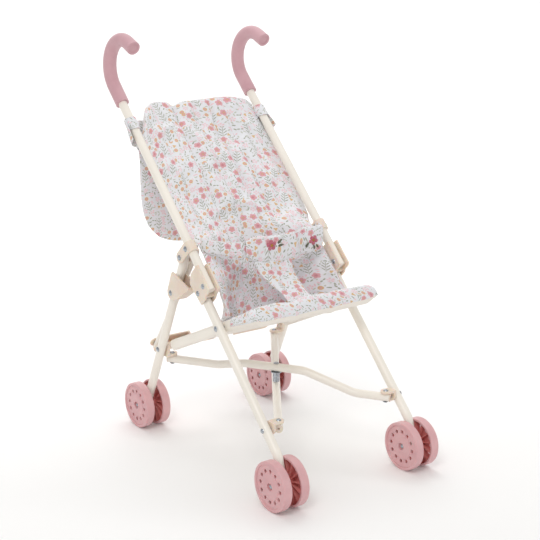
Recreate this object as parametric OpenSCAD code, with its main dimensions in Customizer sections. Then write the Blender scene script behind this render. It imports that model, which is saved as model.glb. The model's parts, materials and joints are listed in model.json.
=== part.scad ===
// Folding doll stroller: two A-shaped side frames, a scissor brace under the seat,
// a locking strut behind it, eight wheel discs in four pairs, and a fabric seat.
// Millimetres. +Z is up, the front faces -Y, and the origin is on the floor below the middle.
// A side point is [y, z] in the plane of a side frame; a heading is in degrees from +Y towards +Z.

/* [Frame] */
// Distance from the middle to each side frame
side_x = 105.5; // [102:0.5:110]
// Radius of the handle tubes and legs
tube_r = 6; // [5.5:0.1:6]
// Wall of the steel tubes
tube_wall = 0.9; // [0.6:0.1:1.5]
// Radius of the scissor brace tubes
brace_r = 5.5; // [4.8:0.1:5.5]
// Radius of the stay behind each rear leg
stay_r = 4.5; // [4:0.1:4.5]

/* [Wheels] */
// Outer radius of a wheel
wheel_r = 32; // [31:0.5:33]
// Width of one wheel disc
wheel_w = 12; // [10:0.5:12]
// Holes around each wheel disc
wheel_holes = 12; // [8:1:12]

/* [Handle] */
// Slope of the handle tube
handle_angle = 44.3; // [44:0.1:45]
// Length of the handle tube below its hook
handle_length = 332.5; // [325:0.5:340]
// Bend radius of the hook
hook_r = 37.5; // [34:0.5:40]
// Angle that the hook turns through
hook_turn = 158; // [140:1:165]
// Outer radius of the foam grip
grip_r = 9.3; // [8.8:0.1:9.8]

/* [Seat] */
// Half width of the seat cloth between the rails
seat_half = 84; // [78:1:85]
// Thickness of the padded seat
pad = 11; // [8:0.5:13]

/* [Hidden] */
$fn = 48;

cream = "#ece4d6";
peach = "#e4d0be";
pink = "#d0a5ac";
zinc = "#c4c8cc";
cloth = "#f2ecea";

// Running clearance on the radius of every rivet, pin and axle
slip = 0.06;
rivet_r = 2;
rivet_head_r = 3.7;
rivet_head_h = 1.9;
axle_r = 2.5;
plate = 2.4;
// Gap between a plate and the tube beside it
gap = 0.3;
ear_in = tube_r + gap;
ear_out = ear_in + plate;

// Side points of the frame, [y, z]
handle_foot = [-36, 238.2];
handle_dir = [cos(handle_angle), sin(handle_angle)];
handle_back = [sin(handle_angle), -cos(handle_angle)];
function on_handle(s, t) = handle_foot + s * handle_dir + t * handle_back;
clamp_s = 65.3;
clamp_len = 15;
leg_top = on_handle(27, 17.4);
leg_pivot = on_handle(clamp_s, 20.5);
front_hub = [-191, wheel_r];
rear_hub = [129.5, wheel_r];
front_knee = [-184.3, 63.4];
knee_r = 25;
leg_stub = 7.5;

// Swivels of the scissor brace
pin_x = 86.8;
front_pin = [-158, 90.5];
rear_pin = [90.8, 105.5];
rear_rivet_z = 124.4;
rear_dir = (rear_hub - leg_pivot) / norm(rear_hub - leg_pivot);
rear_rivet = leg_pivot + rear_dir * (leg_pivot[1] - rear_rivet_z) / -rear_dir[1];
rear_heading = atan2(rear_dir[1], rear_dir[0]);
rear_front = [rear_dir[1], -rear_dir[0]];
function on_rear(w, v) = leg_pivot + w * rear_dir + v * rear_front;

// Scissor brace, measured along the bar from its front pin
brace_len = norm([2 * pin_x, rear_pin[0] - front_pin[0]]);
brace_angle = atan2(2 * pin_x, rear_pin[0] - front_pin[0]);
upper_z = 112.5;
lower_z = 87;
bar_stub = 5.5;

// Seat rails
rail_rivet = [-55.2, 193.5];
rail_heading = 180 - 25.7;
rail_front = 62.5;
rail_rear = 137;
rail_x = 94.6;
rail_tall = 15;
rail_thick = 8.4;
rail_dir = [cos(rail_heading), sin(rail_heading)];
rail_up = [-rail_dir[1], rail_dir[0]] * -1;
function on_rail(a, b) = rail_rivet + a * rail_dir + b * rail_up;

// Stays and the locking strut
stay_x = 91;
strut_pivot = [124.7, 117];
stay_dir = (leg_pivot - strut_pivot) / norm(leg_pivot - strut_pivot);
stay_heading = atan2(stay_dir[1], stay_dir[0]);
strut_high = 16;
strut_wall = 1.8;
cheek_in = stay_r + 0.4;
lug_start = 54;

// ---------- Shared shapes ----------

// Places children at a side point, with local Z along a heading and local X turned up from it
module at_side(x, p, heading) {
    translate([x, p[0], p[1]]) rotate([heading - 90, 0, 0]) rotate([0, 0, -90]) children();
}

// Places children at a side point with local Z along +X
module across(x, p) {
    translate([x, p[0], p[1]]) rotate([0, 90, 0]) children();
}

// Solid rod along local Z through steps: [length] goes straight, [radius, angle] turns towards X.
// Straights run a hair into the bends, which are a hair thinner, so that they join cleanly.
lap = 0.2;
module rod(steps, r, i = 0) {
    if (i < len(steps)) {
        step = steps[i];
        if (len(step) == 1) {
            before = i > 0 ? lap : 0;
            after = i < len(steps) - 1 ? lap : 0;
            translate([0, 0, -before]) cylinder(r = r, h = step[0] + before + after);
            translate([0, 0, step[0]]) rod(steps, r, i + 1);
        } else {
            side = step[1] < 0 ? -1 : 1;
            turn = abs(step[1]);
            rotate([0, 0, side < 0 ? 180 : 0]) translate([step[0], 0, 0]) mirror([1, 0, 0])
                rotate([90, 0, 0]) rotate_extrude(angle = turn)
                    translate([step[0], 0]) circle(r = r - lap / 10);
            translate([side * step[0] * (1 - cos(turn)), 0, step[0] * sin(turn)])
                rotate([0, step[1], 0]) rod(steps, r, i + 1);
        }
    }
}

// The same steps with their first and last lengths changed
function trimmed(steps, first, last) = [
    for (i = [0 : len(steps) - 1])
        i == 0 && i == len(steps) - 1 ? [steps[i][0] + first + last] :
        i == 0 ? [steps[i][0] + first] :
        i == len(steps) - 1 ? [steps[i][0] + last] : steps[i]
];

// Steel tube, closed by a cap of the given thickness at its start and open at its end
module tube(steps, r, cap = 2) {
    difference() {
        rod(steps, r);
        translate([0, 0, cap]) rod(trimmed(steps, -cap, 1), r - tube_wall);
    }
}

// Domed head standing on z = 0
module dome(r, h) {
    ball = (r * r + h * h) / (2 * h);
    rotate_extrude() polygon(concat([[0, 0], [r, 0]],
        [for (a = [1 : 6]) let (f = asin(r / ball) * (1 - a / 6))
            [ball * sin(f), ball * cos(f) - ball + h]]));
}

// Rivet along local Z from a to b, with a dome at each end
module rivet(a, b, r = rivet_r, head = rivet_head_r) {
    translate([0, 0, a]) cylinder(r = r, h = b - a);
    translate([0, 0, b]) dome(head, rivet_head_h);
    translate([0, 0, a]) mirror([0, 0, 1]) dome(head, rivet_head_h);
}

// Hole for a rivet across the side plane
module rivet_hole(x, p, r = rivet_r) {
    across(x, p) translate([0, 0, -30]) cylinder(r = r + slip, h = 60);
}

// A plate cut to side points, between two distances from the middle
module side_plate(points, x0, x1) {
    translate([x0, 0, 0]) rotate([90, 0, 90]) linear_extrude(x1 - x0) polygon(points);
}

// Both sides are built on the right; this puts one on its own side
module on_side(side) {
    mirror([side < 0 ? 1 : 0, 0, 0]) children();
}

// ---------- Side frame ----------

handle_steps = [[handle_length], [hook_r, hook_turn], [12]];

module handle_tube(side) {
    color(cream) on_side(side) difference() {
        at_side(side_x, handle_foot, handle_angle) tube(handle_steps, tube_r);
        rivet_hole(side_x, on_handle(8, 0));
        rivet_hole(side_x, on_handle(clamp_s, 0));
    }
}

grip_start = 302;
grip_steps = [[handle_length - grip_start], [hook_r, hook_turn], [15.5]];

module grip(side) {
    color(pink) on_side(side) at_side(side_x, on_handle(grip_start, 0), handle_angle) difference() {
        rod(grip_steps, grip_r);
        translate([0, 0, -1]) rod(trimmed(grip_steps, 1, -3.2), tube_r + 0.05);
        // Shallow round dimple in the closed end
        translate([hook_r * (1 - cos(hook_turn)), 0, grip_steps[0][0] + hook_r * sin(hook_turn)])
            rotate([0, hook_turn, 0]) translate([0, 0, grip_steps[2][0] - 0.8]) cylinder(r = 6.2, h = 2);
    }
}

// Collar around the handle tube, with two ears that hold the top of the rear leg
module handle_clamp(side) {
    color(peach) on_side(side) difference() {
        union() {
            at_side(side_x, on_handle(clamp_s - clamp_len / 2, 0), handle_angle)
                cylinder(r = ear_out, h = clamp_len);
            at_side(side_x, on_handle(clamp_s - clamp_len / 2, 0), handle_angle)
                translate([-20.5, -ear_out, 0]) cube([20.5, 2 * ear_out, clamp_len]);
            across(side_x, leg_pivot) translate([0, 0, -ear_out])
                cylinder(r = clamp_len / 2, h = 2 * ear_out);
        }
        at_side(side_x, on_handle(clamp_s - 12, 0), handle_angle) cylinder(r = tube_r + 0.05, h = 24);
        at_side(side_x, on_handle(clamp_s - 12, 0), handle_angle)
            translate([-32, -ear_in, 0]) cube([32 - 8.6, 2 * ear_in, 24]);
        rivet_hole(side_x, on_handle(clamp_s, 0));
        rivet_hole(side_x, leg_pivot);
    }
}

// Channel that joins the foot of the handle tube to the top of the front leg
module leg_bracket(side) {
    outline = [
        on_handle(-2.5, -8.7), on_handle(-4.5, -5), on_handle(-4.5, 3), on_handle(-7, 8.5),
        on_handle(-7, 21), on_handle(24, 24), on_handle(28, 23.5), on_handle(35, 13),
        on_handle(36, -5), on_handle(35, -8.7)
    ];
    color(peach) on_side(side) difference() {
        union() {
            side_plate(outline, side_x - ear_out, side_x - ear_in);
            side_plate(outline, side_x + ear_in, side_x + ear_out);
            at_side(side_x, on_handle(-4, 0), handle_angle)
                translate([-10.6, -ear_in - 0.5, 0]) cube([4.2, 2 * ear_in + 1, 34]);
        }
        rivet_hole(side_x, on_handle(8, 0));
        rivet_hole(side_x, on_handle(8, 17.2));
    }
}

leg_heading = atan2(front_knee[1] - leg_top[1], front_knee[0] - leg_top[0]);
shin_heading = atan2(front_hub[1] - front_knee[1], front_hub[0] - front_knee[0]);
knee_turn = shin_heading - leg_heading;
knee_cut = knee_r * tan(knee_turn / 2);

module front_leg(side) {
    steps = [
        [norm(front_knee - leg_top) - knee_cut],
        [knee_r, knee_turn],
        [norm(front_hub - front_knee) - knee_cut + leg_stub]
    ];
    color(cream) on_side(side) difference() {
        at_side(side_x, leg_top, leg_heading) tube(steps, tube_r);
        rivet_hole(side_x, on_handle(8, 17.2));
        rivet_hole(side_x, rail_rivet);
        rivet_hole(side_x, front_pin);
        rivet_hole(side_x, front_hub, axle_r);
    }
}

// Flattened tube that carries the edge of the seat cloth
module seat_rail(side) {
    module oval(tall, thick) {
        translate([-(tall - thick) / 2, -thick / 2]) square([tall - thick, thick]);
        for (e = [-1, 1]) translate([e * (tall - thick) / 2, 0]) circle(d = thick);
    }
    color(cream) on_side(side) difference() {
        at_side(rail_x, on_rail(rail_front, 0), rail_heading - 180) {
            difference() {
                linear_extrude(rail_front + rail_rear) oval(rail_tall, rail_thick);
                translate([0, 0, 2]) linear_extrude(rail_front + rail_rear - 4)
                    oval(rail_tall - 2 * tube_wall, rail_thick - 2 * tube_wall);
            }
            for (e = [0, 1]) translate([0, 0, e * (rail_front + rail_rear)]) intersection() {
                rotate([90, 0, 0]) translate([0, 0, -rail_thick / 2 + 0.1])
                    cylinder(r = rail_tall / 2 - 0.1, h = rail_thick - 0.2);
                translate([-10, -10, e == 0 ? -20 : 0]) cube(20);
            }
        }
        rivet_hole(rail_x, rail_rivet);
    }
}

// Rivets of the side frame: bracket, clamp, rail and front swivel
module frame_rivets(side) {
    color(zinc) on_side(side) {
        for (p = [on_handle(8, 0), on_handle(8, 17.2), on_handle(clamp_s, 0)])
            across(side_x, p) rivet(-ear_out, ear_out);
        across(side_x, rail_rivet) rivet(rail_x - rail_thick / 2 - side_x, tube_r);
        across(side_x, front_pin)
            rivet(-tube_r - swivel_gap - swivel_web - 0.1, tube_r, rivet_r, sunk_head_r);
    }
}

module axle(side, hub) {
    half = tube_r + 0.9 + wheel_w - 2.6;
    color(zinc) on_side(side) across(side_x, hub) {
        translate([0, 0, -half]) cylinder(r = axle_r, h = 2 * half);
        translate([0, 0, half]) dome(3, 1.6);
        translate([0, 0, -half]) mirror([0, 0, 1]) dome(3, 1.6);
    }
}

// ---------- Rear leg ----------

module rear_leg(side) {
    color(cream) on_side(side) difference() {
        at_side(side_x, on_rear(norm(rear_hub - leg_pivot) + leg_stub, 0), rear_heading + 180)
            tube([[norm(rear_hub - leg_pivot) + leg_stub + 6.5]], tube_r);
        rivet_hole(side_x, leg_pivot);
        rivet_hole(side_x, on_rear(58.5, 0));
        rivet_hole(side_x, rear_rivet);
        rivet_hole(side_x, rear_hub, axle_r);
    }
}

// V-shaped cup on the rear leg, open to the top and joined by a wall along its front edge
module leg_cradle(side) {
    outline = [
        on_rear(29, -7.8), on_rear(33, -9), on_rear(60, -8), on_rear(66, -4), on_rear(67, 3),
        on_rear(60, 14), on_rear(27, 35), on_rear(25, 34)
    ];
    wall = [
        on_rear(67, 6.6), on_rear(60, 14), on_rear(27, 35), on_rear(25, 34), on_rear(25.4, 32),
        on_rear(57.5, 11.5), on_rear(62, 6.6)
    ];
    color(peach) on_side(side) difference() {
        union() {
            side_plate(outline, side_x - ear_out, side_x - ear_in);
            side_plate(outline, side_x + ear_in, side_x + ear_out);
            side_plate(wall, side_x - ear_in - 0.5, side_x + ear_in + 0.5);
        }
        rivet_hole(side_x, on_rear(58.5, 0));
    }
}

module rear_stay(side) {
    color(cream) on_side(side) difference() {
        at_side(stay_x, strut_pivot - 6 * stay_dir, stay_heading)
            tube([[norm(leg_pivot - strut_pivot) + 12]], stay_r);
        rivet_hole(stay_x, leg_pivot);
        translate([stay_x, strut_pivot[0], strut_pivot[1]]) rotate([stay_heading - 180, 0, 0])
            translate([0, 0, -20]) cylinder(r = rivet_r + slip, h = 40);
    }
}

// Rivets carried by the rear leg: top pivot, cradle, swivel and strut pivot
module rear_rivets(side) {
    inner_end = stay_x - stay_r - side_x;
    color(zinc) on_side(side) {
        across(side_x, leg_pivot) rivet(inner_end, ear_out + gap);
        across(side_x, leg_pivot) translate([0, 0, stay_x + stay_r - side_x])
            difference() {
                cylinder(r = 3.6, h = side_x - ear_out - stay_x - stay_r - 0.2);
                translate([0, 0, -1]) cylinder(r = rivet_r + slip, h = 4);
            }
        across(side_x, on_rear(58.5, 0)) rivet(-ear_out, ear_out);
        across(side_x, rear_rivet) {
            translate([0, 0, -tube_r + 0.5]) cylinder(r = rivet_r, h = 2 * tube_r - 0.5);
            translate([0, 0, tube_r]) dome(rivet_head_r, rivet_head_h);
        }
        translate([stay_x, strut_pivot[0], strut_pivot[1]]) rotate([stay_heading - 180, 0, 0])
            rivet(-cheek_in - strut_wall - gap, cheek_in + strut_wall + gap);
    }
}

// ---------- Scissor brace ----------

swivel_r = 6.8;
swivel_plate = 3.6;
swivel_web = 1.6;
swivel_gap = 0.4;
sunk_head_r = 3.3;

// Angle bracket beside a leg: a plate rounded about the rivet, whose head sits in a recess,
// and a rounded ear over the end of a bar
module swivel(rivet_at, pin_at) {
    x_out = side_x - tube_r - swivel_gap;
    ear_z = pin_at[1] + brace_r + 0.4;
    up = rivet_at[1] > ear_z ? 1 : -1;
    foot = up > 0 ? ear_z : ear_z + 3;
    outline = concat(
        [for (a = [0 : 15 : 180]) rivet_at + swivel_r * [cos(a), up * sin(a)]],
        [[pin_at[0] - swivel_r, foot], [pin_at[0] + swivel_r, foot]]
    );
    difference() {
        union() {
            side_plate(outline, x_out - swivel_plate, x_out);
            translate([pin_x, pin_at[0] - swivel_r, ear_z])
                cube([x_out - 1 - pin_x, 2 * swivel_r, 3]);
            translate([pin_x, pin_at[0], ear_z]) cylinder(r = swivel_r, h = 3);
        }
        rivet_hole(side_x, rivet_at);
        across(x_out - swivel_web, rivet_at) translate([0, 0, -5]) cylinder(r = sunk_head_r + 0.3, h = 5);
        translate([pin_x, pin_at[0], ear_z - 1]) cylinder(r = rivet_r + slip, h = 6);
    }
}

module front_swivel(side) { color(peach) on_side(side) swivel(front_pin, front_pin); }
module rear_swivel(side) { color(peach) on_side(side) swivel(rear_rivet, rear_pin); }

// Upright rivet through a swivel's ear and the end of a bar
module swivel_pin(side, pin_at) {
    ear_top = brace_r + 0.4 + 3;
    color(zinc) on_side(side) translate([pin_x, pin_at[0], pin_at[1]])
        rivet(-brace_r - gap, ear_top, rivet_r, 3.6);
}

// A brace tube in its own upright plane: a chain of levels joined by slopes with round bends.
// Each level is [start, end, height]; the run starts at the front stub.
bend_r = 40;
function slope_of(a, b) = atan2(b[2] - a[2], b[0] - a[1]);
function brace_steps(levels) = [
    for (i = [0 : len(levels) - 1])
        let (
            here = levels[i],
            back = i == 0 ? 0 : slope_of(levels[i - 1], here),
            next = i == len(levels) - 1 ? 0 : slope_of(here, levels[i + 1]),
            cut_back = bend_r * tan(abs(back) / 2),
            cut_next = bend_r * tan(abs(next) / 2),
            run_next = i == len(levels) - 1 ? 0 :
                norm([levels[i + 1][0] - here[1], levels[i + 1][2] - here[2]])
        )
        each i == len(levels) - 1
            ? [[here[1] - here[0] - cut_back]]
            : [
                [here[1] - here[0] - cut_back - cut_next],
                [bend_r, next],
                [run_next - 2 * cut_next],
                [bend_r, -next]
            ]
];

upper_levels = [[-bar_stub, 42, front_pin[1]], [112, 196, upper_z], [236, brace_len + bar_stub, rear_pin[1]]];
lower_levels = [[-bar_stub, 50, front_pin[1]], [78, 200, lower_z], [262, brace_len + bar_stub, rear_pin[1]]];

// Puts children at the front pin on the given side, X up and Z along the bar
module along_bar(side) {
    translate([side * pin_x, front_pin[0], 0]) rotate([0, 0, 90 + side * brace_angle])
        rotate([0, 90, 0]) rotate([0, 0, 180]) children();
}

module bar_hole(side, at) {
    translate([side * pin_x, front_pin[0], 0]) rotate([0, 0, 90 + side * brace_angle])
        translate([at, 0, 50]) cylinder(r = rivet_r + slip, h = 90);
}

module brace(side, levels) {
    steps = brace_steps(levels);
    difference() {
        along_bar(side) translate([front_pin[1], 0, -bar_stub]) difference() {
            rod(steps, brace_r);
            translate([0, 0, -1]) rod(trimmed(steps, 1, 1), brace_r - tube_wall);
        }
        for (at = [0, brace_len / 2, brace_len]) bar_hole(side, at);
    }
}

module brace_upper() { color(cream) brace(1, upper_levels); }
module brace_lower() { color(cream) brace(-1, lower_levels); }

// Plastic plugs in both ends of a brace tube, each with a square socket
module brace_plugs(side) {
    color(peach) along_bar(side) for (end = [0, 1]) {
        z_end = end == 0 ? front_pin[1] : rear_pin[1];
        translate([z_end, 0, end == 0 ? -bar_stub : brace_len + bar_stub])
            mirror([0, 0, end == 0 ? 0 : 1]) difference() {
                union() {
                    translate([0, 0, -1.2]) cylinder(r = brace_r, h = 1.2);
                    cylinder(r = brace_r - tube_wall - 0.05, h = bar_stub - 2.6);
                }
                translate([-1.4, -1.4, -2]) cube([2.8, 2.8, 3.9]);
            }
    }
}

middle_y = (front_pin[0] + rear_pin[0]) / 2;

module centre_rivet() {
    color(zinc) translate([0, middle_y, 0])
        translate([0, 0, 0]) rivet(lower_z - brace_r - 0.3, upper_z + brace_r + 0.3);
}

// Spacer sleeve between the two bars, with a washer on top
module centre_sleeve() {
    low = lower_z + brace_r + 0.3;
    high = upper_z - brace_r - 0.3;
    color(zinc) translate([0, middle_y, low]) difference() {
        union() {
            cylinder(r = 4.6, h = high - low);
            translate([0, 0, high - low - 1.2]) cylinder(r = 7, h = 1.2);
        }
        translate([0, 0, -1]) cylinder(r = rivet_r + slip, h = high - low + 2);
    }
}

// ---------- Locking strut ----------

// Puts children at a strut's pivot, X towards the middle, Y along the pivot and Z up the stay
module at_strut(side) {
    translate([side * stay_x, strut_pivot[0], strut_pivot[1]])
        rotate([stay_heading - 90, 0, 0]) mirror([side > 0 ? 1 : 0, 0, 0]) children();
}

lug_in = 0.3;
lug_out = cheek_in + strut_wall;

// Half of the strut: an open channel that ends in one flat lug on the middle line
module strut(side) {
    low = -strut_high / 2;
    lug_c0 = side < 0 ? -lug_out : lug_in;
    lug_c1 = side < 0 ? -lug_in : lug_out;
    color(peach) at_strut(side) difference() {
        union() {
            // Channel from the stay to the lug
            difference() {
                union() {
                    translate([0, -lug_out, low]) cube([lug_start, 2 * lug_out, strut_high]);
                    rotate([90, 0, 0]) translate([0, 0, -lug_out])
                        cylinder(r = strut_high / 2, h = 2 * lug_out);
                }
                translate([-20, -cheek_in, low - 1]) cube([28, 2 * cheek_in, strut_high + 2]);
                translate([0, -cheek_in, low + strut_wall])
                    cube([lug_start - 3, 2 * cheek_in, strut_high]);
            }
            // Lug
            translate([lug_start - 3, lug_c0, -6.5]) cube([stay_x - lug_start + 3, lug_c1 - lug_c0, 13]);
            translate([stay_x, lug_c1, 0]) rotate([90, 0, 0])
                cylinder(r = 6.5, h = lug_c1 - lug_c0);
            // Release tab on the left half
            if (side < 0) translate([stay_x - 31, lug_c1, 6]) rotate([90, 0, 0])
                linear_extrude(lug_c1 - lug_c0)
                    polygon([[0, 0], [14, 0], [12, 6.5], [8, 7.5], [5, 6]]);
        }
        rotate([90, 0, 0]) translate([0, 0, -20]) cylinder(r = rivet_r + slip, h = 40);
        translate([stay_x, 0, 0]) rotate([90, 0, 0]) translate([0, 0, -20])
            cylinder(r = rivet_r + slip, h = 40);
    }
}

// Half of the strut's middle rivet, carried by one lug and headed outside it
module strut_rivet(side) {
    color(zinc) at_strut(side) translate([stay_x, 0, 0]) rotate([side < 0 ? 90 : -90, 0, 0]) {
        translate([0, 0, lug_in]) cylinder(r = rivet_r, h = lug_out - lug_in);
        translate([0, 0, lug_out]) dome(rivet_head_r, rivet_head_h);
    }
}

// ---------- Wheels ----------

// One moulded disc on local Z: open and ribbed at z = 0, closed face at z = wheel_w
module wheel_disc() {
    bead = 1.2;
    hub_low = -0.6;
    face = wheel_w - 1.4;
    difference() {
        union() {
            rotate_extrude() polygon(concat(
                [[wheel_r - 2.8, 0], [wheel_r - bead, 0]],
                [for (a = [1 : 3]) [wheel_r - bead + bead * sin(a * 30), bead - bead * cos(a * 30)]],
                [for (a = [0 : 3]) [wheel_r - bead + bead * cos(a * 30), wheel_w - bead + bead * sin(a * 30)]],
                [[wheel_r - 3.6, wheel_w], [wheel_r - 4.2, face],
                 [17.2, face], [16.4, face + 0.7], [0, face + 1],
                 [0, face - 2], [wheel_r - 2.8, face - 2]]));
            translate([0, 0, hub_low]) cylinder(r = 5.6, h = face - 1 - hub_low);
            for (k = [0 : wheel_holes - 1]) rotate([0, 0, (k + 0.5) * 360 / wheel_holes])
                translate([4.5, -0.6, 3]) cube([wheel_r - 2.4 - 4.5, 1.2, wheel_w - 5]);
        }
        for (k = [0 : wheel_holes - 1]) rotate([0, 0, k * 360 / wheel_holes])
            translate([20.2, 0, 1]) cylinder(r = 2.5, h = wheel_w);
        translate([0, 0, -5]) cylinder(r = axle_r + slip, h = 30);
        translate([0, 0, wheel_w - 3.2]) cylinder(r = 5, h = 6);
    }
}

module wheel(side, hub, out) {
    color(pink) on_side(side) across(side_x, hub) mirror([0, 0, out < 0 ? 1 : 0])
        translate([0, 0, tube_r + 0.9]) wheel_disc();
}

// ---------- Cloth parts, as plain closed solids ----------

// A strip of the given thickness along side points, one side of the line
function strip(points, d) = concat(points, [
    for (i = [len(points) - 1 : -1 : 0])
        let (
            a = points[max(i - 1, 0)], b = points[min(i + 1, len(points) - 1)],
            u = (b - a) / norm(b - a)
        )
        points[i] + d * [-u[1], u[0]]
]);

back_line = [
    [14, 170], [19, 195], [27, 222], [37, 250], [51, 278], [70, 304],
    [92, 331], [116, 359], [141, 390], [164, 418], [178, 444]
];

module seat_back() {
    color(cloth) side_plate(strip(back_line, 8), -seat_half, seat_half);
}

module seat_pan() {
    color(cloth) side_plate([
        on_rail(68, 8), on_rail(72, 4), on_rail(72, 2 - pad / 2), on_rail(40, -pad + 3),
        on_rail(-20, -pad), on_rail(-64, -pad), on_rail(-64, -2), on_rail(-20, 1), on_rail(40, 5)
    ], -seat_half, seat_half);
}

// Wide strap from the front of the seat up to the belt that runs through its top
module crotch_strap() {
    color(cloth) side_plate([
        [-72, 212], [-66, 213], [-44, 232], [-26, 262], [-23, 283], [-27, 284], [-31, 263], [-49, 235]
    ], -25, 20);
}

// Half of the lap belt, from the strap back to the edge of the back
module lap_belt(side) {
    inner = side < 0 ? 27 : 22;
    color(cloth) on_side(side) translate([0, 0, 262]) linear_extrude(19) polygon([
        [inner, -27], [52, -22], [77, -2], [86, 10], [85, 14], [82, 14],
        [74, 4], [50, -17], [inner, -22]
    ]);
}

// Flat pouch that hangs behind the back
module rear_bag() {
    corner = 38;
    color(cloth) translate([0, 174, 0]) rotate([90, 0, 0]) linear_extrude(13) polygon(concat(
        [[84, 412], [-84, 412]],
        [for (a = [180 : 15 : 270]) [-84 + corner + corner * cos(a), 248 + corner + corner * sin(a)]],
        [for (a = [270 : 15 : 360]) [84 - corner + corner * cos(a), 248 + corner + corner * sin(a)]]));
}

// Cloth loop around the handle tube near the top of the back
module top_loop(side) {
    color(cloth) on_side(side) at_side(side_x, on_handle(262, 0), handle_angle) difference() {
        cylinder(r = tube_r + 2, h = 22);
        translate([0, 0, -1]) cylinder(r = tube_r + 0.3, h = 24);
    }
}

// ---------- Nodes ----------

handle_tube(-1);  // handle_tube_left
handle_tube(1);  // handle_tube_right
grip(-1);  // grip_left
grip(1);  // grip_right
handle_clamp(-1);  // handle_clamp_left
handle_clamp(1);  // handle_clamp_right
leg_bracket(-1);  // leg_bracket_left
leg_bracket(1);  // leg_bracket_right
front_leg(-1);  // front_leg_left
front_leg(1);  // front_leg_right
seat_rail(-1);  // seat_rail_left
seat_rail(1);  // seat_rail_right
frame_rivets(-1);  // frame_rivets_left
frame_rivets(1);  // frame_rivets_right
axle(-1, front_hub);  // front_axle_left
axle(1, front_hub);  // front_axle_right
rear_leg(-1);  // rear_leg_left
rear_leg(1);  // rear_leg_right
leg_cradle(-1);  // leg_cradle_left
leg_cradle(1);  // leg_cradle_right
rear_stay(-1);  // rear_stay_left
rear_stay(1);  // rear_stay_right
rear_rivets(-1);  // rear_rivets_left
rear_rivets(1);  // rear_rivets_right
axle(-1, rear_hub);  // rear_axle_left
axle(1, rear_hub);  // rear_axle_right
front_swivel(-1);  // front_swivel_left
front_swivel(1);  // front_swivel_right
rear_swivel(-1);  // rear_swivel_left
rear_swivel(1);  // rear_swivel_right
swivel_pin(-1, front_pin);  // front_pin_left
swivel_pin(1, front_pin);  // front_pin_right
swivel_pin(-1, rear_pin);  // rear_pin_left
swivel_pin(1, rear_pin);  // rear_pin_right
brace_upper();
brace_lower();
brace_plugs(1);  // brace_plugs_upper
brace_plugs(-1);  // brace_plugs_lower
centre_rivet();
centre_sleeve();
strut(-1);  // strut_left
strut(1);  // strut_right
strut_rivet(-1);  // strut_rivet_left
strut_rivet(1);  // strut_rivet_right
wheel(-1, front_hub, 1);  // wheel_front_left_outer
wheel(-1, front_hub, -1);  // wheel_front_left_inner
wheel(1, front_hub, -1);  // wheel_front_right_inner
wheel(1, front_hub, 1);  // wheel_front_right_outer
wheel(-1, rear_hub, 1);  // wheel_rear_left_outer
wheel(-1, rear_hub, -1);  // wheel_rear_left_inner
wheel(1, rear_hub, -1);  // wheel_rear_right_inner
wheel(1, rear_hub, 1);  // wheel_rear_right_outer
seat_back();
seat_pan();
crotch_strap();
lap_belt(-1);  // lap_belt_left
lap_belt(1);  // lap_belt_right
rear_bag();
top_loop(-1);  // top_loop_left
top_loop(1);  // top_loop_right
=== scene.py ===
import json
import math
import bmesh
import bpy
import numpy as np
from mathutils import Matrix, Vector


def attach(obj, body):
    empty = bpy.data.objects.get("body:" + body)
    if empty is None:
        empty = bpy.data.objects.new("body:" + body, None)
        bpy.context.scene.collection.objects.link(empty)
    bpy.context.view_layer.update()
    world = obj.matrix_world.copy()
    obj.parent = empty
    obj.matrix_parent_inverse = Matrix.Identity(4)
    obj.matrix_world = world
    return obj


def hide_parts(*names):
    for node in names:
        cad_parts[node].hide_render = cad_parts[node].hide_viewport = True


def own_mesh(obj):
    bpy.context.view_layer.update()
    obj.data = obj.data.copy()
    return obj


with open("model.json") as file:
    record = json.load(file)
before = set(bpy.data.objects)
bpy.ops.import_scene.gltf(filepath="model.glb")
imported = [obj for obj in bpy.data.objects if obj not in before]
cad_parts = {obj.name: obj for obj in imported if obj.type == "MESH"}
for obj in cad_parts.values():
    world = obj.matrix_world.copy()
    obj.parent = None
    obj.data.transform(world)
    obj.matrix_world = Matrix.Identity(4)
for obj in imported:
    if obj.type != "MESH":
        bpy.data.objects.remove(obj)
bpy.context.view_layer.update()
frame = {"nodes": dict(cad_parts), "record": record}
scene = bpy.context.scene
MM = 0.001
TURN = 6.283  # one turn, as the print and the creases use it

# ---------------------------------------------------------------- the frame's own lines, in mm
TUBE_X = 105.5  # middle of a handle tube
HANDLE_ANGLE = math.radians(44.3)
HANDLE_FOOT = np.array([-36.0, 238.2])  # (y, z) where the handle tube's line starts
HANDLE_UP = np.array([math.cos(HANDLE_ANGLE), math.sin(HANDLE_ANGLE)])
HANDLE_BACK = np.array([math.sin(HANDLE_ANGLE), -math.cos(HANDLE_ANGLE)])
RAIL_MID = np.array([-55.2, 193.5])  # (y, z) of a point on the seat rail's axis
RAIL_FORWARD = np.array([-0.9011, 0.4337])
RAIL_UP = np.array([0.4337, 0.9011])


def on_handle(s, t):
    """(y, z) at s along the handle tube's line and t behind it."""
    return HANDLE_FOOT + s * HANDLE_UP + t * HANDLE_BACK


def on_rail(a, b):
    """(y, z) at a forward along the seat rail's line and b above it."""
    return RAIL_MID + a * RAIL_FORWARD + b * RAIL_UP


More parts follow.
